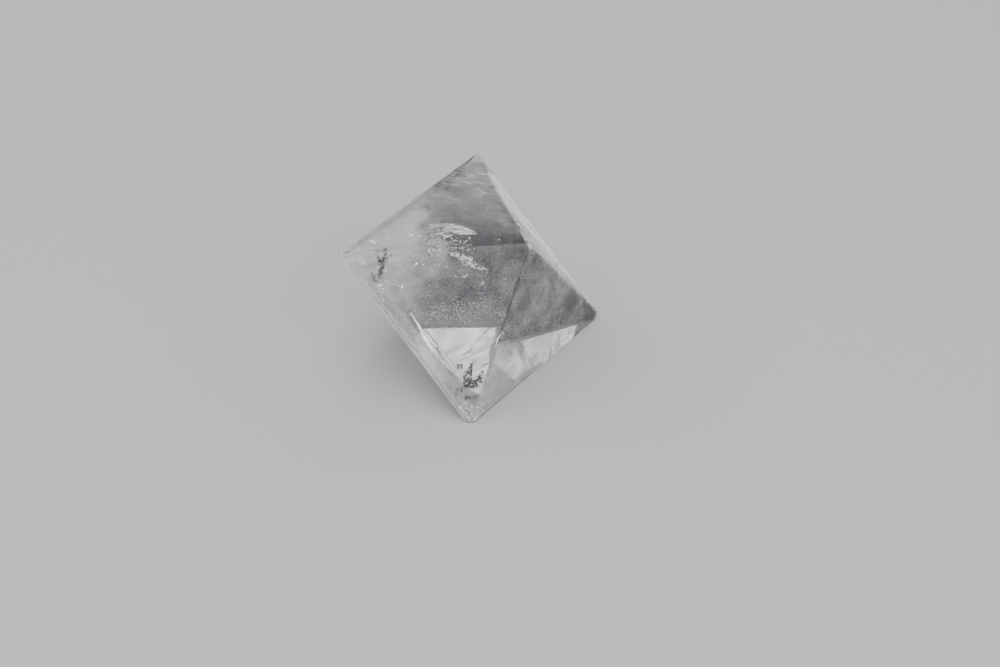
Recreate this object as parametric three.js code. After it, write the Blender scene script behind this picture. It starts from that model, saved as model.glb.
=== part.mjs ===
// A clear quartz double pyramid: two four-sided pyramids cut base to base from one stone, with
// faces at about 45 degrees. Millimetres, +Z up. The stone lies on one of its eight faces. That
// face's long edge runs along X at the front, and the apex that it shares points to +Y.
import * as THREE from 'three';
import { ConvexGeometry } from 'three/addons/geometries/ConvexGeometry.js';

// The eight faces as cut by hand, each within a few degrees of true. In the stone's own axes the
// girdle lies in XY and the two apexes on Z. A face's slope is its angle to the girdle, its turn
// is how far it is twisted from square about Z, both in degrees, and its distance is from the
// stone's centre.
const UPPER_FACES = {
  front: { slope: 44, turn: -0.5, distance: 8.7 },
  right: { slope: 43, turn: 1.5, distance: 8.95 },
  back: { slope: 47, turn: -0.5, distance: 8.65 },
  left: { slope: 44.5, turn: 2, distance: 8.7 },
};
const LOWER_FACES = {
  front: { slope: 44.5, turn: -1.5, distance: 8.8 },
  right: { slope: 42.5, turn: 0, distance: 8.55 },
  back: { slope: 47.5, turn: -0.5, distance: 8.85 },
  left: { slope: 43, turn: 0.5, distance: 8.8 },
};
const HEADINGS = { front: -90, right: 0, back: 90, left: 180 }; // where each side faces, degrees

const BEVEL_WIDTH = 0.26; // polished band along each edge
const APEX_CUTS = { upper: 0.15, lower: 0.5 }; // how much of each point is ground off
const CORNER_CUTS = { front: 0.12, right: 0.25, back: 0.4, left: 0.1 }; // after each side, going round
const SAME_POINT = 1e-5; // corners closer than this are one corner

const QUARTZ_COLOUR = 0xe9edf0;
const QUARTZ_ROUGHNESS = 0.05;

const UP = new THREE.Vector3(0, 0, 1);

// A plane is { normal, distance }: the stone is on the side that the normal points away from.
function facePlane(face, side, end) {
  const heading = THREE.MathUtils.degToRad(HEADINGS[side] + face.turn);
  const slope = THREE.MathUtils.degToRad(face.slope);
  const normal = new THREE.Vector3(Math.sin(slope), 0, end * Math.cos(slope));
  return { normal: normal.applyAxisAngle(UP, heading), distance: face.distance };
}

// The band along the edge between two faces, square to the line that halves their angle.
function bevelPlane(first, second) {
  const normal = first.normal.clone().add(second.normal);
  const ridge = (first.distance + second.distance) / normal.length();
  const turn = first.normal.angleTo(second.normal);
  const depth = (BEVEL_WIDTH / 2) * Math.tan(turn / 2);
  return { normal: normal.normalize(), distance: ridge - depth };
}

function tipPlane({ normal, cut }, corners) {
  const reach = Math.max(...corners.map((corner) => corner.dot(normal)));
  return { normal, distance: reach - cut };
}

function meetingPoint(a, b, c) {
  const bc = b.normal.clone().cross(c.normal);
  const ca = c.normal.clone().cross(a.normal);
  const ab = a.normal.clone().cross(b.normal);
  const volume = a.normal.dot(bc);
  if (Math.abs(volume) < SAME_POINT) return null;
  bc.multiplyScalar(a.distance).addScaledVector(ca, b.distance).addScaledVector(ab, c.distance);
  return bc.divideScalar(volume);
}

// The corners of the solid that all the planes leave.
function cornersOf(planes) {
  const isInside = (p) => planes.every((q) => q.normal.dot(p) < q.distance + SAME_POINT);
  const corners = [];
  for (let i = 0; i < planes.length; i += 1) {
    for (let j = i + 1; j < planes.length; j += 1) {
      for (let k = j + 1; k < planes.length; k += 1) {
        const point = meetingPoint(planes[i], planes[j], planes[k]);
        const isNew = point && !corners.some((p) => p.distanceTo(point) < SAME_POINT);
        if (isNew && isInside(point)) corners.push(point);
      }
    }
  }
  return corners;
}

function stonePlanes() {
  const sides = Object.keys(HEADINGS);
  const upper = sides.map((side) => facePlane(UPPER_FACES[side], side, 1));
  const lower = sides.map((side) => facePlane(LOWER_FACES[side], side, -1));
  const faces = [...upper, ...lower];
  const bevels = [];
  const tips = [
    { normal: UP.clone(), cut: APEX_CUTS.upper },
    { normal: UP.clone().negate(), cut: APEX_CUTS.lower },
  ];
  sides.forEach((side, i) => {
    const next = (i + 1) % sides.length;
    bevels.push(bevelPlane(upper[i], lower[i]));
    bevels.push(bevelPlane(upper[i], upper[next]));
    bevels.push(bevelPlane(lower[i], lower[next]));
    const outward = upper[i].normal.clone().add(upper[next].normal).setZ(0).normalize();
    tips.push({ normal: outward, cut: CORNER_CUTS[side] });
  });
  const sharpCorners = cornersOf(faces);
  const cuts = tips.map((tip) => tipPlane(tip, sharpCorners));
  return { all: [...faces, ...bevels, ...cuts], rest: lower[0], overhang: upper[0] };
}

// Turns the stone so that the resting face looks down and its front edge lies along X.
function layOn(rest, overhang) {
  const up = rest.normal.clone().negate();
  const along = overhang.normal.clone().cross(rest.normal).normalize();
  const back = up.clone().cross(along);
  const basis = new THREE.Matrix4().makeBasis(along, back, up);
  return new THREE.Quaternion().setFromRotationMatrix(basis).invert();
}

function makeStone() {
  const planes = stonePlanes();
  const material = new THREE.MeshStandardMaterial({
    color: QUARTZ_COLOUR,
    roughness: QUARTZ_ROUGHNESS,
    metalness: 0,
  });
  const stone = new THREE.Mesh(new ConvexGeometry(cornersOf(planes.all)), material);
  stone.name = 'quartz_double_pyramid';
  stone.quaternion.copy(layOn(planes.rest, planes.overhang));
  const box = new THREE.Box3().setFromObject(stone, true);
  const centre = box.getCenter(new THREE.Vector3());
  stone.position.set(-centre.x, -centre.y, -box.min.z);
  return stone;
}

const group = new THREE.Group();
group.add(makeStone());

export default group;
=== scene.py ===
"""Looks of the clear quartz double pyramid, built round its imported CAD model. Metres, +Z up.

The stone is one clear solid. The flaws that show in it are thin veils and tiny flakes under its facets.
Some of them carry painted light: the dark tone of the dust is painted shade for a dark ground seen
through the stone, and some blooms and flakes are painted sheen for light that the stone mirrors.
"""

import math

import bmesh
import bpy
import numpy as np
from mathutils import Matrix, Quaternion, Vector, noise


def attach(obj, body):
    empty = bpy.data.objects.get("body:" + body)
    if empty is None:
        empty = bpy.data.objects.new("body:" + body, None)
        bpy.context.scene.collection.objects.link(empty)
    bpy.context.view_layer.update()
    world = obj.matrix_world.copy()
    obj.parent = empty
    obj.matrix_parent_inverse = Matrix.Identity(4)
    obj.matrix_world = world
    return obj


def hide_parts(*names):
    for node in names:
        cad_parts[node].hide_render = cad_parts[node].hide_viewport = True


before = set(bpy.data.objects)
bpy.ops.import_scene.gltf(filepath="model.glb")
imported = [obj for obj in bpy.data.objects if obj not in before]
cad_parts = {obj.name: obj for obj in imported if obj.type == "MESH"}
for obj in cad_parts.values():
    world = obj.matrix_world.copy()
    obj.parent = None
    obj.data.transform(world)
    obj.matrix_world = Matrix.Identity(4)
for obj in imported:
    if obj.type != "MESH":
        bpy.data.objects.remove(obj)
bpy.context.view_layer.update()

MM = 0.001

# Camera: where it looks on the floor, and from where, in degrees round and above that point.
CAMERA_AIM = Vector((3.5, -1.4, 0)) * MM
CAMERA_AZIMUTH = -53.2
CAMERA_ELEVATION = 37.06
CAMERA_ROLL = -0.54
CAMERA_DISTANCE = 239.2 * MM
CAMERA_LENS = 72
CAMERA_CLIP = (0.01, 10)

FLOOR_SIZE = 3.0
FLOOR_GAP = 0.02 * MM  # the floor lies this far under the stone, so that they don't share a plane
WORLD_STRENGTH = 0.46
SOFTBOX_DISTANCE = 0.6
WHITE, WARM, BLUSH, COOL = (1, 1, 1), (1, 0.985, 0.96), (1, 0.985, 0.975), (0.98, 0.99, 1)
# Softboxes: azimuth and elevation, width and height as seen from the stone (degrees), radiance, colour.
SOFTBOXES = (
    ("key", -60, 62, (26, 26), 5.6, WARM),
    ("front", -36, 38, (90, 24), 2.7, COOL),
    ("left_back", -153, 47, (56, 36), 2.3, BLUSH),
    ("back", 120, 62, (26, 26), 1.8, WHITE),
    ("top", 0, 84, (26, 26), 4.4, WHITE),
    ("right", 72, 38, (84, 24), 1.1, COOL),
)

# The stone.
QUARTZ_IOR = 1.544
FACET_AREA = 50 * MM * MM  # facets are larger, and ground edges and corners are smaller
CORNER_AREA = 1 * MM * MM  # ground edges are larger, and ground corners are smaller
SAME_PLANE = 0.9999  # cosine between the normals of two faces that lie in one plane
BLOCK_SIZE = 80 * MM
CUT_TOLERANCE = 1e-8
WELD_DISTANCE = 0.002 * MM
CAD_BAND = 0.26 * MM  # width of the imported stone's ground edges
BAND_SLOPE = 0.707  # tangent of half the turn from one facet to the next
EDGE_STEP = 0.5 * MM
EDGE_WANDER = 0.03 * MM  # how far a ground edge's border strays
WANDER_LENGTH = 1.3 * MM

# The ways the eight facets face, roughly. The sliver is the narrow one on the right in the photograph.
TOP, BASE, FRONT_LEFT, FRONT_RIGHT = (0, 0, 1), (0, 0, -1), (-0.7, -0.5, 0.5), (0, -1, 0)
SLIVER, BACK, BACK_LEFT, BACK_RIGHT = (0.7, -0.5, 0.5), (0, 1, 0), (-0.7, 0.5, -0.5), (0.7, 0.5, -0.5)

# The facets on the two sides of each ground edge, and the width of its band in millimetres.
EDGE_BANDS = (
    (TOP, FRONT_LEFT, 0.05),
    (TOP, SLIVER, 0.1),
    (FRONT_RIGHT, SLIVER, 0.11),
    (FRONT_LEFT, FRONT_RIGHT, 0.07),
    (TOP, BACK, 0.05),
    (BASE, FRONT_RIGHT, 0.06),
    (FRONT_LEFT, BACK_LEFT, 0.06),
    (SLIVER, BACK_RIGHT, 0.08),
    (BASE, BACK_RIGHT, 0.1),
    (BACK, BACK_RIGHT, 0.08),
    (BASE, BACK_LEFT, 0.03),
    (BACK, BACK_LEFT, 0.08),
)


def direction(azimuth, elevation):
    """Unit vector from the object towards a compass point: azimuth 0 is -Y, 90 is +X."""
    a, e = math.radians(azimuth), math.radians(elevation)
    return Vector((math.sin(a) * math.cos(e), -math.cos(a) * math.cos(e), math.sin(e)))


def add_camera():
    """The photograph's view, with a long lens."""
    data = bpy.data.cameras.new("camera")
    data.lens = CAMERA_LENS
    data.clip_start, data.clip_end = CAMERA_CLIP
    camera = bpy.data.objects.new("camera", data)
    bpy.context.scene.collection.objects.link(camera)
    back = direction(CAMERA_AZIMUTH, CAMERA_ELEVATION)
    camera.location = CAMERA_AIM + back * CAMERA_DISTANCE
    camera.rotation_mode = "QUATERNION"
    roll = Quaternion((0, 0, 1), math.radians(CAMERA_ROLL))
    camera.rotation_quaternion = (-back).to_track_quat("-Z", "Y") @ roll
    bpy.context.scene.camera = camera


def principled(name, **values):
    """A Principled material. Each value's name is its socket's, with _ for a space."""
    material = bpy.data.materials.new(name)
    material.use_nodes = True
    shader = material.node_tree.nodes["Principled BSDF"]
    for socket, value in values.items():
        shader.inputs[socket.replace("_", " ")].default_value = value
    return material


def add_floor():
    half = FLOOR_SIZE / 2
    mesh = bpy.data.meshes.new("floor")
    corners = [(-half, -half, 0), (half, -half, 0), (half, half, 0), (-half, half, 0)]
    mesh.from_pydata(corners, [], [(0, 1, 2, 3)])
    floor = bpy.data.objects.new("floor", mesh)
    floor.location.z = -FLOOR_GAP
    mesh.materials.append(principled("floor", Base_Color=(0.4, 0.4, 0.405, 1), Roughness=0.9))
    bpy.context.scene.collection.objects.link(floor)


def add_softbox(name, azimuth, elevation, spread, radiance, colour):
    """A softbox that fills spread (wide, high) degrees of the object's sky and shines evenly."""
    data = bpy.data.lights.new(name, "AREA")
    data.shape = "RECTANGLE"
    data.size, data.size_y = (2 * SOFTBOX_DISTANCE * math.tan(math.radians(s / 2)) for s in spread)
    data.energy = math.pi * data.size * data.size_y * radiance
    data.color = colour
    light = bpy.data.objects.new(name, data)
    towards = direction(azimuth, elevation)
    light.location = towards * SOFTBOX_DISTANCE
    light.rotation_mode = "QUATERNION"
    light.rotation_quaternion = towards.to_track_quat("Z", "Y")
    bpy.context.scene.collection.objects.link(light)


def add_world():
    world = bpy.data.worlds.new("studio")
    world.use_nodes = True
    background = world.node_tree.nodes["Background"]
    background.inputs["Color"].default_value = (1, 1, 1, 1)
    background.inputs["Strength"].default_value = WORLD_STRENGTH
    bpy.context.scene.world = world


def add_stage():
    add_floor()
    add_world()
    for softbox in SOFTBOXES:
        add_softbox(*softbox)


def quartz_material():
    """Clear quartz with a very weak grey absorption."""
    material = principled(
        "quartz",
        Base_Color=(1, 1, 1, 1),
        Roughness=0.0,
        IOR=QUARTZ_IOR,
        Transmission_Weight=1.0,
    )
    nodes = material.node_tree.nodes
    absorption = nodes.new("ShaderNodeVolumeAbsorption")
    absorption.inputs["Color"].default_value = (0.5, 0.52, 0.54, 1)
    absorption.inputs["Density"].default_value = 28
    output = nodes["Material Output"]
    material.node_tree.links.new(absorption.outputs["Volume"], output.inputs["Volume"])
    return material


def edge_material():
    """The ground bands along the edges: dull and half clear."""
    return principled(
        "quartz_edge",
        Base_Color=(0.95, 0.96, 0.97, 1),
        Roughness=0.22,
        IOR=QUARTZ_IOR,
        Transmission_Weight=0.55,
    )


def stone_planes():
    """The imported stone's planes, largest first: unit normal, distance from the origin and area."""
    planes = []
    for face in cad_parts["quartz_double_pyramid"].data.polygons:
        for plane in planes:
            if plane[0].dot(face.normal) > SAME_PLANE:
                plane[2] += face.area
                break
        else:
            planes.append([face.normal.copy(), face.center.dot(face.normal), face.area])
    return sorted(planes, key=lambda plane: -plane[2])


def band_width(normal):
    """The width of the ground band that faces this way."""

    def turned_away(band):
        return ((Vector(band[0]) + Vector(band[1])).normalized() - normal).length

    return min(EDGE_BANDS, key=turned_away)[2] * MM


def cut_off(bm, normal, distance):
    """Cuts off what lies beyond a plane and closes the cut."""
    geometry = bm.verts[:] + bm.edges[:] + bm.faces[:]
    bmesh.ops.bisect_plane(
        bm,
        geom=geometry,
        dist=CUT_TOLERANCE,
        plane_co=normal * distance,
        plane_no=normal,
        clear_outer=True,
    )
    bmesh.ops.holes_fill(bm, edges=[e for e in bm.edges if e.is_boundary], sides=0)


def is_facet(face):
    """Whether a face is one of the eight, and not a ground edge or corner."""
    return face.calc_area() > FACET_AREA


def soften_edges(bm):
    """Cuts each ground band's borders into short lengths and lets them wander."""
    borders = [e for e in bm.edges if sum(is_facet(f) for f in e.link_faces) == 1]
    long_borders = [e for e in borders if e.calc_length() > 4 * EDGE_STEP]
    cuts = int(round(max(e.calc_length() for e in long_borders) / EDGE_STEP))
    bmesh.ops.subdivide_edges(bm, edges=long_borders, cuts=cuts)
    for vert in bm.verts:
        facets = [f for f in vert.link_faces if is_facet(f)]
        if len(facets) != 1 or len(vert.link_edges) != 3:
            continue
        along = [e for e in vert.link_edges if facets[0] in e.link_faces]
        line = (along[0].other_vert(vert).co - along[1].other_vert(vert).co).normalized()
        inward = facets[0].normal.cross(line)
        vert.co += inward * noise.noise(vert.co / WANDER_LENGTH) * EDGE_WANDER


def add_piece(name, mesh, *materials):
    """A piece of the stone, on its one body, with these materials."""
    for material in materials:
        mesh.materials.append(material)
    piece = bpy.data.objects.new(name, mesh)
    bpy.context.scene.collection.objects.link(piece)
    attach(piece, "root")
    return piece


def build_crystal():
    """The stone again from its own planes, with finer ground bands that follow the photograph."""
    bm = bmesh.new()
    bmesh.ops.create_cube(bm, size=BLOCK_SIZE)
    for normal, distance, area in stone_planes():
        if CORNER_AREA < area < FACET_AREA:
            distance += (CAD_BAND - band_width(normal)) / 2 * BAND_SLOPE
        cut_off(bm, normal, distance)
    bmesh.ops.remove_doubles(bm, verts=bm.verts, dist=WELD_DISTANCE)
    soften_edges(bm)
    for face in bm.faces:
        face.smooth = False
        face.material_index = 0 if is_facet(face) else 1
    mesh = bpy.data.meshes.new("quartz_crystal")
    bm.to_mesh(mesh)
    bm.free()
    crystal = add_piece("quartz_crystal", mesh, quartz_material(), edge_material())
    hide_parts("quartz_double_pyramid")


# Inclusions, placed in millimetres in the stone's frame. They are swarms of flecks, which are small
# closed solids, and veils, which are thin wavy sheets that show only where they have cover.

SEED = 11
# The way a flake faces to throw the key light back through each facet that the camera sees: about
# halfway between the ways to the light and to the camera, both bent by the facet.
FLASH = {
    TOP: (-0.34, -0.23, 0.91),
    FRONT_LEFT: (-0.61, -0.44, 0.66),
    FRONT_RIGHT: (-0.35, -0.79, 0.5),
    SLIVER: (0.09, -0.55, 0.83),
}
RIGHT_EDGE = (0.04, -0.72, -0.7)  # the way the long right edge runs
FLECK_CORNERS = np.array(((1, 1, 1), (1, -1, -1), (-1, 1, -1), (-1, -1, 1))) / math.sqrt(3)
FLECK_FACES = np.array(((0, 1, 2), (0, 3, 1), (0, 2, 3), (1, 3, 2)))
FLECK_IOR = 1.3
SKIN = 0.12  # least distance from a fleck's middle to the stone's surface
SHEET_HALF = 15  # half the side of a sheet that is laid over the whole stone
SHEET_ALONG = (0.3, 0.5, 0.7)
VEIL_STEP = 0.3  # side of a veil's squares
VEIL_SKIN = 0.03  # least distance from a veil to the stone's surface
VEIL_WAVE = 3.5  # length of a veil's waves
TRIM_ROUNDS = 4
PARALLEL = 0.01  # square of the sine below which a sheet and a facet count as parallel
LEAST_COVER, MOST_COVER = 0.02, 0.95
GRAIN_RISE = 0.14  # how far the noise of a veil rises from a grain's border to its full cover


def facet_planes():
    """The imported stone's facets as unit normals and distances, in millimetres."""
    facets = [plane for plane in stone_planes() if plane[2] > FACET_AREA]
    return np.array([f[0] for f in facets]), np.array([f[1] for f in facets]) / MM


def depth(points):
    """How far inside the stone each point is."""
    normals, distances = facet_planes()
    return (distances - points @ normals.T).min(1)


def facet_plane(facing):
    """The unit normal and distance of the facet that faces this way."""
    normals, distances = facet_planes()
    index = int(np.argmax(normals @ np.array(facing)))
    return normals[index], distances[index]


def below(points, facing):
    """How far under one facet each point is."""
    normal, distance = facet_plane(facing)
    return distance - points @ normal


def fade(value, start, end):
    """0 at start, 1 at end, smooth between."""
    t = np.clip((value - start) / (end - start), 0, 1)
    return t * t * (3 - 2 * t)


def grain(points, scale, salt, octaves=3):
    """Cloudy noise of about -1 to 1, with features of scale (one number or three). Each salt gives
    another cloud."""
    places = points / scale + np.array((salt, -salt, 0.5 * salt))
    return np.array([noise.fractal(Vector(p), 1.0, 2.0, octaves) for p in places])


def random_turns(rng, count):
    """Rotations by any angle about any axis."""
    q = rng.normal(size=(count, 4))
    w, x, y, z = (q / np.linalg.norm(q, axis=1, keepdims=True)).T
    rows = (
        (1 - 2 * (y * y + z * z), 2 * (x * y - w * z), 2 * (x * z + w * y)),
        (2 * (x * y + w * z), 1 - 2 * (x * x + z * z), 2 * (y * z - w * x)),
        (2 * (x * z - w * y), 2 * (y * z + w * x), 1 - 2 * (x * x + y * y)),
    )
    return np.array(rows).transpose(2, 0, 1)


def small_tilts(rng, count, degrees):
    """Rotations by a small random angle about random axes."""
    turn = rng.normal(size=(count, 3)) * math.radians(degrees)
    x, y, z = turn.T
    o = np.zeros(count)
    skew = np.array(((o, -z, y), (z, o, -x), (-y, x, o))).transpose(2, 0, 1)
    u, _, v = np.linalg.svd(np.eye(3) + skew)
    return u @ v


def sheet_axes(along, normal):
    """Rows: along, across and normal, as unit vectors at right angles."""
    n = np.array(normal, float) / np.linalg.norm(normal)
    u = np.array(along, float) - n * np.dot(along, n)
    u /= np.linalg.norm(u)
    return np.array((u, np.cross(n, u), n))


def add_flecks(name, rng, points, radius, material, squash=(1, 1, 1), axes=np.eye(3), tilt=0):
    """One mesh with a small closed solid at each point. radius is (least, most), squash stretches each
    fleck along the three axes, and tilt is how far it strays from them, in degrees."""
    points = points[depth(points) > SKIN]
    count = len(points)
    size = radius[0] + (radius[1] - radius[0]) * rng.random(count) ** 2
    corners = FLECK_CORNERS @ random_turns(rng, count) * np.array(squash)
    if tilt:
        corners = corners @ small_tilts(rng, count, tilt)
    verts = (points[:, None] + corners @ axes * size[:, None, None]).reshape(-1, 3) * MM
    faces = (FLECK_FACES + 4 * np.arange(count)[:, None, None]).reshape(-1, 3)
    mesh = bpy.data.meshes.new(name)
    mesh.from_pydata(verts.tolist(), [], faces.tolist())
    add_piece(name, mesh, material)


def add_flakes(
    name, rng, points, radius, material, facing, along=(0.6, -0.8, 0.1), shape=(1, 0.8, 0.06), tilt=9
):
    """Thin flakes that flash through the facet that faces this way, give or take a tilt."""
    add_flecks(name, rng, points, radius, material, shape, sheet_axes(along, FLASH[facing]), tilt)


def fleck_material(name, dark, light, patch, roughness=0.5, metallic=0):
    """Mottled mineral: its colour wanders between dark and light in patches of so many millimetres."""
    material = principled(name, Roughness=roughness, IOR=FLECK_IOR, Metallic=metallic)
    nodes, links = material.node_tree.nodes, material.node_tree.links
    place = nodes.new("ShaderNodeTexCoord")
    speckle = nodes.new("ShaderNodeTexNoise")
    speckle.inputs["Scale"].default_value = 1 / (patch * MM)
    speckle.inputs["Detail"].default_value = 3
    ramp = nodes.new("ShaderNodeValToRGB")
    for stop, position, colour in zip(ramp.color_ramp.elements, (0.35, 0.65), (dark, light)):
        stop.position = position
        stop.color = (*colour, 1)
    links.new(place.outputs["Object"], speckle.inputs["Vector"])
    links.new(speckle.outputs["Fac"], ramp.inputs["Fac"])
    links.new(ramp.outputs["Color"], nodes["Principled BSDF"].inputs["Base Color"])
    return material


def veil_material(name, dark, light, patch, grit, thin, along=(1, 0, 0), spare=0.38):
    """See-through film of tiny bubbles. Its alpha is the mesh's cover, broken up between thin and 1 by
    its grain. grit is the grain's size in millimetres, as one number or as three that start with the one
    along the given direction. The more it is spare, the fewer grains it has."""
    material = fleck_material(name, dark, light, patch, 0.6)
    nodes, links = material.node_tree.nodes, material.node_tree.links
    cover = nodes.new("ShaderNodeAttribute")
    cover.attribute_name = "cover"
    place = nodes.new("ShaderNodeMapping")
    place.vector_type = "TEXTURE"
    turn = Vector((1, 0, 0)).rotation_difference(Vector(along))
    place.inputs["Rotation"].default_value = turn.to_euler()
    place.inputs["Scale"].default_value = (np.ones(3) * grit * MM).tolist()
    speckle = nodes.new("ShaderNodeTexNoise")
    speckle.inputs["Scale"].default_value = 1
    speckle.inputs["Detail"].default_value = 5
    speckle.inputs["Roughness"].default_value = 0.7
    spread = nodes.new("ShaderNodeMapRange")
    spread.inputs["From Min"].default_value = spare
    spread.inputs["From Max"].default_value = spare + GRAIN_RISE / math.sqrt(1 - thin)
    spread.inputs["To Min"].default_value = thin
    alpha = nodes.new("ShaderNodeMath")
    alpha.operation = "MULTIPLY"
    links.new(nodes["Texture Coordinate"].outputs["Object"], place.inputs["Vector"])
    links.new(place.outputs["Vector"], speckle.inputs["Vector"])
    links.new(speckle.outputs["Fac"], spread.inputs["Value"])
    links.new(spread.outputs["Result"], alpha.inputs[0])
    links.new(cover.outputs["Fac"], alpha.inputs[1])
    links.new(alpha.outputs[0], nodes["Principled BSDF"].inputs["Alpha"])
    return material


def trim(points, normal):
    """Pull the points of a sheet that lie outside the stone in to its surface, along the sheet."""
    for facet, distance in zip(*facet_planes()):
        inward = facet - np.dot(facet, normal) * normal
        if np.dot(inward, inward) > PARALLEL:
            excess = np.clip(points @ facet - distance + VEIL_SKIN, 0, None)
            points = points - excess[:, None] * inward / np.dot(inward, inward)
    return points


def add_veil(name, facing, under, cover, material, lift, salt):
    """A veil that follows a facet, so far under it and in waves of height lift, wherever
    cover(points) is above 0. Most are healed cracks; some carry painted shade and some painted sheen."""
    normal, distance = facet_plane(facing)
    side = np.arange(-SHEET_HALF, SHEET_HALF, VEIL_STEP)
    s, t = (grid.ravel() for grid in np.meshgrid(side, side, indexing="ij"))
    flat = np.stack((s, t, np.zeros(len(s))), 1)
    flat[:, 2] = distance - under - lift * grain(flat, VEIL_WAVE, salt)
    points = flat @ sheet_axes(SHEET_ALONG, normal)
    inside = depth(points) > VEIL_SKIN
    for _ in range(TRIM_ROUNDS):
        points = trim(points, normal)
    amount = np.clip(cover(points), 0, MOST_COVER)
    first = np.arange(len(s)).reshape(len(side), -1)[:-1, :-1].ravel()
    quads = first[:, None] + (0, 1, len(side) + 1, len(side))
    kept = inside[quads].any(1) & (depth(points)[quads].min(1) > 0)
    quads = quads[kept & (amount[quads].max(1) > LEAST_COVER)]
    used, index_of = np.unique(quads, return_inverse=True)
    mesh = bpy.data.meshes.new(name)
    mesh.from_pydata((points[used] * MM).tolist(), [], index_of.reshape(-1, 4).tolist())
    mesh.attributes.new("cover", "FLOAT", "POINT").data.foreach_set("value", amount[used])
    mesh.shade_smooth()
    add_piece(name, mesh, material)


# Covers: how thick a veil, or how dense a swarm, is at each point, from 0 to 1. Each is named after its
# piece, and most of the sparks borrow a veil's.

# The slanting line on the front right facet where the light that the stone mirrors changes: above it the
# dust carries painted shade, below it there is no dust and a pale bloom carries painted sheen. Its height
# at x = 0, and its slope.
SHADE_LINE_HEIGHT, SHADE_LINE_SLOPE = 5.07, 0.424


def blob(points, centre, radius):
    """1 in the middle, 0 from radius (one number or three) on."""
    return fade(-np.linalg.norm((points - centre) / radius, axis=1), -1, 0)


def away(points, facing, start, end):
    """0 up to start below a facet and 1 from end on, so that a sheet has no hard end there."""
    return fade(below(points, facing), start, end)


def near(points, facing, start, end):
    """1 up to start below a facet and 0 from end on."""
    return fade(-below(points, facing), -end, -start)


def below_shade_line(points):
    """How far each point is below the line on the front right facet where its dust and painted shade end.
    """
    return SHADE_LINE_HEIGHT - SHADE_LINE_SLOPE * points[:, 0] - points[:, 2]


def milky(points):
    """Milky towards the left corner, clear past a slanting front."""
    x, y, z = points.T
    on_top = -0.642 * (x - 3) + 0.767 * (y - 7.2)
    on_left = y + 0.25 * (x + 8) - 0.8
    front = np.where(z > 15, on_top, on_left) + 1.2 * grain(points, 2.2, 35)
    body = fade(front, -1.5, 3.5) * (0.95 + 0.35 * grain(points, 3, 1))
    plate = blob(points, (-4.9, 1, 15.5), (2.4, 3, 2.4)) * (0.75 + 0.5 * grain(points, 1.2, 3))
    return np.maximum(body, plate)


def milk_top_cover(points):
    """The milky corner under the top facet."""
    return milky(points) * away(points, FRONT_LEFT, 0.5, 3.5)


def milk_and_sheen_left_cover(points):
    """The milky corner under the left facet, and a bloom along the long lower left edge that is partly
    painted sheen for light mirrored there.
    """
    corner = milky(points) * away(points, TOP, 0.3, 3)
    strip = near(points, BACK_LEFT, 1.5, 1.75) * (0.88 + 0.2 * grain(points, 1.5, 2))
    return np.maximum(corner, strip * away(points, TOP, 0.5, 2))


def milk_and_sheen_strip_cover(points):
    """The bloom's outer half, right up to the edge, partly painted sheen for light mirrored there."""
    return 0.92 * near(points, BACK_LEFT, 0.5, 0.8)


def milk_and_sheen_inner_cover(points):
    """A smooth bloom over the lower part of the left facet, partly painted sheen for light that part
    mirrors, with a crumbly upper end.
    """
    crumble = 0.25 * grain(points, 0.5, 24)
    low = fade(crumble - points[:, 2], -8.3, -8)
    return 0.45 * low * away(points, BACK_LEFT, 1.2, 1.6) * away(points, FRONT_RIGHT, 0.2, 1.3)


def milk_back_cover(points):
    """A bloom right inside the back facet, along its upper edge."""
    x, _, z = points.T
    left = fade(z, 9, 12) * fade(-x, 2, 5)
    right = fade(z, 11.5, 13.5) * fade(x, 3.5, 5)
    rim = np.maximum(fade(z, 14.3, 15.3), left + right)
    return rim * fade(-x, -12.2, -11.6) * (0.85 + 0.2 * grain(points, 3, 21))


def milk_edge_cover(points):
    """A bloom behind the long left edge."""
    return near(points, FRONT_LEFT, 1.8, 2.6) * (0.9 + 0.2 * grain(points, 1.5, 22))


def milk_base_cover(points):
    """A bloom over the resting facet, along its front edge and at the lowest corner."""
    x, y, _ = points.T
    front = fade(-y, 6.6, 7.6) * fade(-x, -2.5, -0.5)
    return np.maximum(front, fade(-x, 7, 9.5)) * (0.85 + 0.3 * grain(points, 1.5, 23))


def milk_and_sheen_low_cover(points):
    """A pale bloom over the lowest part of the front right facet, thickest at the lowest corner; partly
    painted sheen for light that this part mirrors.
    """
    x = points[:, 0]
    bloom = 0.3 + 0.35 * fade(-x, 3, 8) + 0.3 * grain(points, (2.5, 2.5, 1.2), 14)
    return fade(below_shade_line(points), 0, 0.3) * bloom * (1 - 0.8 * fade(x, 0.5, 3))


def shaded_bare_patches(points):
    """Two patches of the front right facet with no powder and the most painted shade: a round one and
    the right corner.
    """
    patch = 1.5 * blob(points, (7.7, -8.6, 5.3), (2.4, 3, 2.2))
    return np.clip(np.maximum(patch, fade(points[:, 0], 9.8, 10.8)), 0, 1)


def shade_cover(points):
    """Painted shade in front of the dust, over its two bare patches: a dark film for ground seen through.
    """
    return 0.45 * shaded_bare_patches(points) * fade(-below_shade_line(points), 0, 0.3)


def dust_and_shade_right_cover(points):
    """Drifts of dust whose dark tone is painted shade, kept off the lowest part of the front right facet.
    """
    drifts = 0.88 + 0.45 * grain(points, (1.6, 1.6, 2.6), 6, octaves=5) + shaded_bare_patches(points)
    return fade(-below_shade_line(points), 0, 0.3) * drifts * away(points, FRONT_LEFT, 0.1, 0.6)


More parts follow.
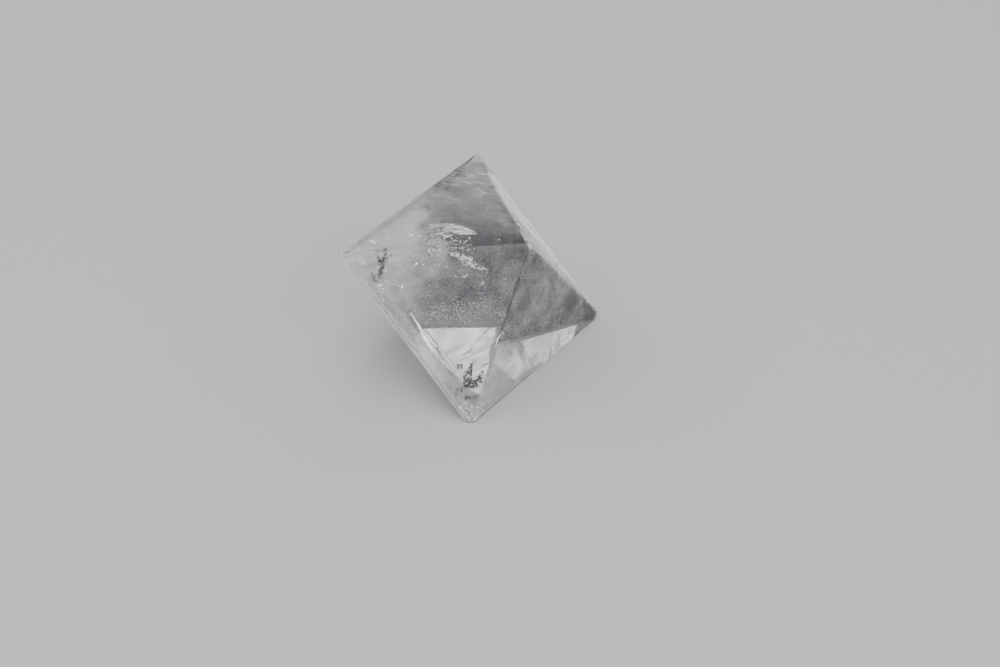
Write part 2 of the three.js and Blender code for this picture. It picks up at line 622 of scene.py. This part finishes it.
def powder_right_cover(points):
    """White powder in drifts, in front of the dust."""
    thin_place = blob(points, (4, -8.6, 8), (3.5, 3, 2.5))
    drifts = 0.45 - 0.5 * thin_place + 1.1 * grain(points, 1.8, 16, octaves=5)
    shaded_dusty = fade(-below_shade_line(points), 0, 0.2) * (1 - shaded_bare_patches(points))
    return shaded_dusty * drifts * away(points, FRONT_LEFT, 0.1, 0.6)


def band_cover(points):
    """A soft upright band with streaks in the lowest part of the front right facet."""
    band = fade(-np.abs(points[:, 0] - 4.2), -1.7, -0.7)
    streaks = 0.5 + 0.9 * grain(points, (0.45, 1, 3), 34)
    return band * streaks * fade(below_shade_line(points), 0, 0.2)


def dust_and_shade_centre_cover(points):
    """A dusty cloud whose dark tone is painted shade, thickest in the middle of the left facet and gone
    before its lower part.
    """
    _, y, z = points.T
    cloud = (0.8 + 0.35 * grain(points, 2.5, 9, octaves=5)) * fade(-y, -4.5, -1) * fade(z, 6, 10.5)
    return cloud * away(points, TOP, 0.6, 4) * away(points, FRONT_RIGHT, 0.3, 2.3)


def powder_left_cover(points):
    """White powder over the dusty middle with its painted shade, thicker towards its lower end."""
    _, y, z = points.T
    drifts = 0.2 + 0.55 * fade(-z, -12.5, -9.5) + 0.5 * grain(points, 1.8, 17, octaves=5)
    rim = fade(z, 7.8, 8.5) * fade(-z, -9.2, -8.9) * (0.1 + 1.2 * grain(points, 0.9, 27))
    main = fade(z, 9, 9.3) * fade(-y, -3.5, 0) * fade(-z, -16, -14) * drifts
    return np.maximum(main, rim) * away(points, FRONT_RIGHT, 0.2, 0.8)


def dust_and_shade_top_cover(points):
    """Dust with painted shade under the clear part of the top facet, thinner towards the front corner."""
    clear = fade(-milky(points), -0.7, 0) * away(points, FRONT_LEFT, 0.3, 3)
    drifts = 1 + 0.5 * grain(points, (1.2, 2.4, 1.2), 26)
    return (0.68 - 0.15 * fade(points[:, 0], 0, 4)) * clear * drifts


def streaks_cover(points):
    """Brushed streaks that thicken towards the back corner of the top facet."""
    x = points[:, 0]
    band = 0.75 + 0.8 * grain(points, 2, 12)
    return band * (0.5 * fade(x, 0, 3) + 0.5 * fade(x, 4.5, 7)) * fade(-x, -12.5, -11)


def sliver_sheen_cover(points):
    """Painted sheen for light mirrored in the narrow facet, thickening towards the long right edge, away
    from the front corner.
    """
    sliver_sheen = 0.7 * fade(points[:, 1] + 0.9 * points[:, 0], 1.5, 4)
    return 0.15 + sliver_sheen + 0.3 * grain(points, (1, 1, 4), 31)


def sheen_flakes_right_cover(points):
    """Painted sheen, thick at the lowest corner, thinner along the lowest part of the front right facet.
    """
    x = points[:, 0]
    low = 0.3 * fade(below_shade_line(points), 0, 0.3) * fade(-x, -3, -1)
    return np.maximum(fade(-x, 9.3, 11.2), low * (1 + 0.8 * grain(points, 0.8, 33)))


def sheen_flakes_left_cover(points):
    """Painted sheen at the end of the left facet at the lowest corner."""
    x, _, z = points.T
    return fade(-x, 10.2, 11.5) * fade(-z, -3, -1.5)


def add_veils():
    """All veils, from the milky corner to the painted sheen under the narrow facet."""
    # Milky haze; where it blooms along the long lower left edge and low on the front facets it is partly
    # painted sheen.
    milk_and_sheen = veil_material("milk_and_sheen", (0.88, 0.83, 0.81), (0.94, 0.95, 0.98), patch=4, grit=0.5, thin=0.8)
    # Dust with a real grain; its dark tone is painted shade for a dark ground seen through the clear
    # stone.
    dust_and_shade = veil_material("dust_and_shade", (0.045, 0.049, 0.055), (0.165, 0.175, 0.19), patch=1, grit=0.2, thin=0.6)
    # Painted shade: a dark film for a dark ground seen through the clear stone.
    painted_shade_film = veil_material("painted_shade_film", (0.02, 0.02, 0.024), (0.05, 0.05, 0.06), patch=1, grit=0.3, thin=0.9)
    blueish = veil_material("blueish", (0.3, 0.38, 0.46), (0.5, 0.58, 0.66), patch=1, grit=0.5, thin=0.7)
    powder = veil_material("powder", (0.9, 0.93, 0.98), WHITE, patch=1, grit=0.18, thin=0, spare=0.5)
    brushed = veil_material(
        "brushed",
        (0.8, 0.81, 0.83),
        WHITE,
        patch=0.8,
        grit=(1.8, 0.15, 0.15),
        thin=0,
        along=(0.2, -0.98, 0),
        spare=0.46,
    )
    # Painted sheen: a pale film for light mirrored in the narrow facet.
    sheen_film = veil_material(
        "sheen_film", (0.85, 0.87, 0.9), WHITE, patch=1, grit=(4, 0.2, 0.2), thin=0.65, along=RIGHT_EDGE
    )
    # Name, facet that it follows, how far under it, cover, material, height of its waves, salt.
    for veil in (
        ("milk_top", TOP, 1.9, milk_top_cover, milk_and_sheen, 0.3, 1),
        ("milk_and_sheen_left", FRONT_LEFT, 2.3, milk_and_sheen_left_cover, milk_and_sheen, 0.3, 2),
        ("milk_and_sheen_strip", FRONT_LEFT, 0.35, milk_and_sheen_strip_cover, milk_and_sheen, 0.04, 11),
        ("milk_and_sheen_inner", FRONT_LEFT, 2.7, milk_and_sheen_inner_cover, milk_and_sheen, 0.2, 12),
        ("milk_and_sheen_low", FRONT_RIGHT, 0.45, milk_and_sheen_low_cover, milk_and_sheen, 0.1, 6),
        ("milk_back", BACK, 0.14, milk_back_cover, milk_and_sheen, 0.05, 7),
        ("milk_edge", BACK_LEFT, 0.3, milk_edge_cover, milk_and_sheen, 0.1, 8),
        ("milk_base", BASE, 0.16, milk_base_cover, milk_and_sheen, 0.05, 9),
        ("dust_and_shade_right", FRONT_RIGHT, 0.4, dust_and_shade_right_cover, dust_and_shade, 0.1, 3),
        ("shade", FRONT_RIGHT, 0.28, shade_cover, painted_shade_film, 0.04, 17),
        ("band", FRONT_RIGHT, 0.5, band_cover, blueish, 0.05, 16),
        ("powder_right", FRONT_RIGHT, 0.2, powder_right_cover, powder, 0.04, 13),
        ("dust_and_shade_centre", FRONT_LEFT, 4.5, dust_and_shade_centre_cover, dust_and_shade, 0.8, 4),
        ("powder_left", FRONT_LEFT, 1.3, powder_left_cover, powder, 0.2, 14),
        ("dust_and_shade_top", TOP, 1.7, dust_and_shade_top_cover, dust_and_shade, 0.2, 15),
        ("streaks", TOP, 1.2, streaks_cover, brushed, 0.2, 5),
        ("sliver_sheen", SLIVER, 0.35, sliver_sheen_cover, sheen_film, 0.05, 10),
    ):
        add_veil(*veil)


def loose_spots(rng, facing, nearest, farthest, density, cover):
    """Random places between two depths under a facet, as many to a cubic millimetre as density times
    cover."""
    normal, distance = facet_plane(facing)
    count = int((2 * SHEET_HALF) ** 2 * (farthest - nearest) * density)
    least, most = (-SHEET_HALF, -SHEET_HALF, nearest), (SHEET_HALF, SHEET_HALF, farthest)
    spots = rng.uniform(least, most, size=(count, 3))
    spots[:, 2] = distance - spots[:, 2]
    spots = spots @ sheet_axes(SHEET_ALONG, normal)
    spots = spots[depth(spots) > SKIN]
    return spots[rng.random(len(spots)) < cover(spots)]


def add_sparks(rng, material):
    """Loose bright specks over the milky side, the dusty middle and the dusty facet, and thicker ones as
    painted sheen for mirrored light at the lowest corner and along the long right edge."""
    # Name, facet that they lie under, least and greatest depth, density and cover.
    for name, facing, nearest, farthest, density, cover in (
        ("sparks_top", TOP, 0, 1.6, 5, milk_top_cover),
        ("sparks_left", FRONT_LEFT, 0, 2.1, 5, milk_and_sheen_left_cover),
        ("sparks_centre", FRONT_LEFT, 1, 3, 6, powder_left_cover),
        ("sparks_right", FRONT_RIGHT, 0, 0.35, 20, powder_right_cover),
    ):
        spots = loose_spots(rng, facing, nearest, farthest, density, cover)
        add_flakes(name, rng, spots, (0.02, 0.055), material, facing)
    # Painted sheen: bright flakes at the lowest corner and low on the front right facet, for mirrored
    # light.
    for name, facing, density, cover in (
        ("sheen_flakes_right", FRONT_RIGHT, 110, sheen_flakes_right_cover),
        ("sheen_flakes_left", FRONT_LEFT, 120, sheen_flakes_left_cover),
    ):
        spots = loose_spots(rng, facing, SKIN, 0.4, density, cover)
        add_flakes(name, rng, spots, (0.04, 0.1), material, facing, tilt=12)
    # Painted sheen: long flakes under the narrow facet, for light mirrored in it.
    spots = loose_spots(rng, SLIVER, SKIN, 0.34, 480, sliver_sheen_cover)
    long_flake = (2.5, 0.7, 0.03)
    add_flakes("sheen_sparks", rng, spots, (0.03, 0.08), material, SLIVER, RIGHT_EDGE, long_flake, 2)


# Veins, shards and scratches are ragged ribbons that all face one way.
RIBBON_FACING, RIBBON_ALONG = (-0.64, -0.48, 0.6), (0.6, -0.8, 0)
LACE = 0.22  # size of the holes in a ribbon


def vein_spots(rng, path, holes, per_area, thick=0.03):
    """Points along a ragged ribbon. path lists places and half widths: x, y, z, width. The higher holes
    is, from about -1 to 1, the more of the ribbon is missing."""
    across = sheet_axes(RIBBON_ALONG, RIBBON_FACING)
    found = []
    for start, end in zip(np.array(path), np.array(path[1:])):
        length = np.linalg.norm(end[:3] - start[:3]) + start[3] + end[3]
        count = int(per_area * length * (start[3] + end[3]))
        t = rng.uniform(-0.1, 1.1, count)[:, None]
        spread = rng.uniform(-1, 1, (count, 3)) * (1, 1, 0) + rng.normal(size=(count, 3)) * (0, 0, thick)
        width = (start[3] + (end[3] - start[3]) * t) * (1, 1, 0) + (0, 0, 1)
        found.append(start[:3] + (end[:3] - start[:3]) * t + (spread * width) @ across)
    spots = np.concatenate(found)
    return spots[grain(spots, LACE, 3) > holes]


def all_vein_spots(rng, paths, *rest):
    """Points along several ribbons."""
    return np.concatenate([vein_spots(rng, path, *rest) for path in paths])


# The feather's fan runs between two curves; a curve is a start, a bend and a tip.
FAN_UPPER = ((-3.1, 4.3, 16.2), (0.1, 3.3, 16.3), (-1.0, -1.7, 16.5))
FAN_LOWER = ((-4.5, 1.2, 16.3), (-2.3, 0.4, 16.4), (-1.2, -1.8, 16.5))
FIBRES = 70
FIBRE_STEP = 0.014  # of the fan's length
# The row of bright shards that runs from it down under the left facet: places and half widths.
SHARDS = (
    ((-5, -0.8, 16.4, 0.1), (-4.7, -1.4, 16.2, 0.2), (-4.4, -2.1, 16, 0.25)),
    ((-4.5, -2.1, 15.9, 0.3), (-4.3, -2.7, 15.6, 0.5), (-4.1, -3.5, 15.3, 0.35), (-3.7, -4.9, 15, 0.04)),
)


def bend(curve, t):
    """Places along a curve with a start, a bend and a tip, for t from 0 to 1."""
    start, middle, tip = (np.array(p) for p in curve)
    t = t[:, None]
    return (1 - t) ** 2 * start + 2 * t * (1 - t) * middle + t * t * tip


def fibre_spots(rng):
    """Points along the fan's wavy fibres, each over part of its length."""
    found = []
    for blend in rng.random(FIBRES):
        start, end = rng.uniform(0, 0.6), rng.uniform(0.55, 1)
        t = np.arange(start, max(end, start + 0.15), FIBRE_STEP)
        mix = np.clip(blend + 0.05 * np.sin(9 * t + 40 * blend), 0, 1)
        path = bend(FAN_UPPER, t) * (1 - mix[:, None]) + bend(FAN_LOWER, t) * mix[:, None]
        strand = np.stack((t, 5 * mix, 0 * t), 1)  # places for a grain that keeps to one fibre
        spots = path + (1.05 - t)[:, None] * rng.normal(size=path.shape) * (0.08, 0.08, 0.06)
        found.append(spots[grain(strand, 0.25, 41) > rng.normal(-0.05, 0.15, len(t))])
    return np.concatenate(found)


def fan_crumbs_cover(points):
    """The crumbled root of the fan."""
    return blob(points, (-3.4, -0.9, 16.4), (2, 2.4, 3))


def plate_top_cover(points):
    """The part of the crumbled plate beside the fan that lies under the top facet."""
    return blob(points, (-4.4, 1.6, 16.2), (2.6, 3.4, 3))


def plate_left_cover(points):
    """The part of the crumbled plate that lies under the left facet."""
    return blob(points, (-6.3, 0.3, 15.4), (2.2, 2.2, 1.6))


def add_feather(rng, fibre, shine):
    """Bright crumbled feather, a healed crack that spreads from the middle of the left edge."""
    along = np.array(FAN_UPPER[2]) - np.array(FAN_UPPER[0])
    axes = sheet_axes(along, TOP)
    spots = fibre_spots(rng)
    add_flecks("fibres", rng, spots, (0.03, 0.06), fibre, (3.2, 0.4, 0.3), axes, 9)
    spots = fibre_spots(rng)
    add_flakes("fibre_shine", rng, spots, (0.03, 0.07), shine, TOP, along, (3.2, 0.5, 0.1), 11)
    spots = loose_spots(rng, TOP, 0.8, 1.3, 120, fan_crumbs_cover)
    add_flakes("fan_crumbs", rng, spots, (0.03, 0.09), shine, TOP, along, (1.8, 0.7, 0.1), 24)
    spots = all_vein_spots(rng, SHARDS, 0, 110, 0.12)
    add_flakes("shards", rng, spots, (0.06, 0.2), shine, FRONT_LEFT, tilt=16)
    spots = all_vein_spots(rng, SHARDS, 0, 130, 0.12)
    add_flecks("shard_crumbs", rng, spots, (0.04, 0.12), fibre)
    for name, facing, cover in (
        ("plate_top", TOP, plate_top_cover),
        ("plate_left", FRONT_LEFT, plate_left_cover),
    ):
        spots = loose_spots(rng, facing, 0.9, 1.5, 90, cover)
        add_flakes(name, rng, spots, (0.03, 0.11), shine, facing, tilt=22)


# Dark veins: places and half widths.
VEINS_LOW = (
    ((-8.7, -6.5, 5.4, 0.15), (-9.1, -6.5, 4.8, 0.3), (-9.5, -6.5, 4.2, 0.5), (-9.8, -6.7, 3.4, 0.45)),
    ((-8.2, -7.7, 4.7, 0.15), (-8.6, -7.7, 4.2, 0.3), (-9, -7.6, 3.8, 0.5), (-9.5, -7.3, 3.4, 0.5)),
    ((-9.9, -6.7, 3.5, 0.4), (-9.5, -7.3, 3.3, 0.35)),
    ((-10.1, -6.6, 3.2, 0.2), (-10.5, -6.3, 3, 0.2), (-10.9, -6.1, 2.7, 0.4)),
    ((-9.6, -5.4, 5.3, 0.35), (-9.5, -5.6, 5.2, 0.3)),
    ((-10.6, -7, 2.1, 0.2), (-10.4, -7.3, 2, 0.3)),
    ((-9.9, -7.8, 2.2, 0.15), (-9.8, -8, 2.1, 0.15)),
    ((-10.3, -2.7, 7.1, 0.15), (-10.3, -3.2, 6.6, 0.15)),
    ((-11.3, -6.4, 1.6, 0.15), (-11.3, -6.6, 1.5, 0.15)),
)
VEINS_LEFT = (
    ((-9, 5.1, 16.1, 0.1), (-9.4, 5.1, 15.6, 0.2), (-9.8, 5.1, 14.9, 0.3), (-10.2, 5, 14.3, 0.3),
     (-10.5, 5, 13.8, 0.15)),
    ((-9.9, 5.7, 16.2, 0.15), (-9.8, 5.4, 15.4, 0.15), (-9.9, 5.2, 14.9, 0.2)),
    ((-8.7, 4.6, 16, 0.07), (-9.1, 4.8, 15.7, 0.08), (-9.4, 5, 15.4, 0.1)),
    ((-10.8, 5.8, 14.1, 0.1), (-10.9, 5.4, 13.7, 0.2), (-10.9, 5.1, 13.3, 0.15)),
)
SMUDGES = (
    ((-7.5, 2.6, 15.9, 0.15), (-7.7, 1.9, 15, 0.25), (-8, 1.4, 14, 0.1)),
    ((-12, 3.2, 11.8, 0.3), (-12, 2.3, 10.8, 0.5), (-11.8, 1.3, 9.9, 0.3)),
)


def add_veins(rng, soot, smoke):
    """Dark lacy flakes under the left facet, at the stone's left and lowest corners."""
    flat = (1, 1, 0.4)
    spots = all_vein_spots(rng, VEINS_LOW, -0.1, 900)
    add_flecks("low_flakes", rng, spots, (0.03, 0.07), soot, flat)
    spots = all_vein_spots(rng, VEINS_LEFT, -0.15, 900)
    add_flecks("left_flakes", rng, spots, (0.03, 0.07), soot, flat)
    spots = all_vein_spots(rng, SMUDGES, 0.1, 260, 0.08)
    add_flecks("smudges", rng, spots, (0.03, 0.06), smoke, flat)


# Bright specks: place, spread and size of the largest flake.
GLINT_FLAKES = 24
GLINTS = (
    ((5.6, 0.3, 15), 0.12, 0.12), ((-0.4, -4.3, 15.7), 0.12, 0.12), ((-1.6, -6.4, 11.6), 0.12, 0.16),
    ((8.2, -7.6, 6.4), 0.12, 0.14), ((-6.7, -1.9, 6.9), 0.35, 0.08), ((-5.2, -3.9, 6.9), 0.35, 0.09),
    ((-7.6, -8.3, 0.5), 0.2, 0.16), ((-6.4, -0.7, 8.6), 0.45, 0.07), ((-8.6, 7.3, 15.8), 0.2, 0.14),
    ((-11.3, 6.5, 15.5), 0.2, 0.1), ((-10.2, 5.3, 14.8), 0.12, 0.12), ((-9.8, 4.6, 14.6), 0.2, 0.08),
    ((-9.2, 2.9, 12.7), 0.14, 0.13), ((-11, 4.3, 13.2), 0.25, 0.11), ((-11.4, 4, 12.6), 0.25, 0.1),
    ((-11.8, 3.7, 11.8), 0.15, 0.1), ((-5.1, 4.6, 15.5), 0.15, 0.11), ((-7.8, 1.9, 15.2), 0.1, 0.11),
    ((-3.1, 2.4, 13.9), 0.15, 0.1), ((-3.1, -1.5, 12.6), 0.2, 0.08), ((-2.3, -3.4, 11.7), 0.2, 0.08),
)


def nearest_facet(points):
    """The one of the three large facets in front that the points lie closest under."""
    return min((TOP, FRONT_LEFT, FRONT_RIGHT), key=lambda facing: below(points, facing).mean())


def add_glints(rng, material):
    """Single bright specks, each a tuft of flakes."""
    for index, (place, spread, size) in enumerate(GLINTS):
        spots = np.array(place) + spread * rng.normal(size=(GLINT_FLAKES, 3))
        facing = nearest_facet(spots)
        add_flakes(f"glint_{index:02d}", rng, spots, (0.4 * size, size), material, facing)


# Bright scratches: places and half widths.
SCRATCHES = (
    ((-10.6, 0.5, 10.6, 0.02), (-10.6, -0.5, 9.5, 0.08), (-10.8, -1.5, 8.2, 0.15), (-10.8, -2.5, 7, 0.08)),
    ((-5.4, -8.4, 8.7, 0.05), (-6, -8.2, 8.1, 0.07), (-6.4, -8.2, 7.2, 0.02)),
)


def add_scratches(rng, material):
    """Fine bright lines under the left facet."""
    spots = all_vein_spots(rng, SCRATCHES, -0.9, 1200)
    add_flakes("scratches", rng, spots, (0.03, 0.07), material, FRONT_LEFT, tilt=6)


def add_inclusions():
    """All inclusions. One row of random numbers serves them all, so their order matters."""
    rng = np.random.default_rng(SEED)
    pale = fleck_material("pale", (0.8, 0.84, 0.9), (0.98, 0.98, 0.98), 0.3, 0.35)
    mirror = fleck_material("mirror", (0.9, 0.93, 0.98), (1, 1, 0.98), 0.3, 0.15, metallic=1)
    soot = fleck_material("soot", (0.04, 0.04, 0.04), (0.2, 0.195, 0.19), 0.2)
    smoke = fleck_material("smoke", (0.12, 0.12, 0.12), (0.3, 0.3, 0.3), 0.4)
    add_veils()
    add_sparks(rng, mirror)
    add_feather(rng, pale, mirror)
    add_veins(rng, soot, smoke)
    add_glints(rng, mirror)
    add_scratches(rng, mirror)


add_camera()
add_stage()
build_crystal()
add_inclusions()
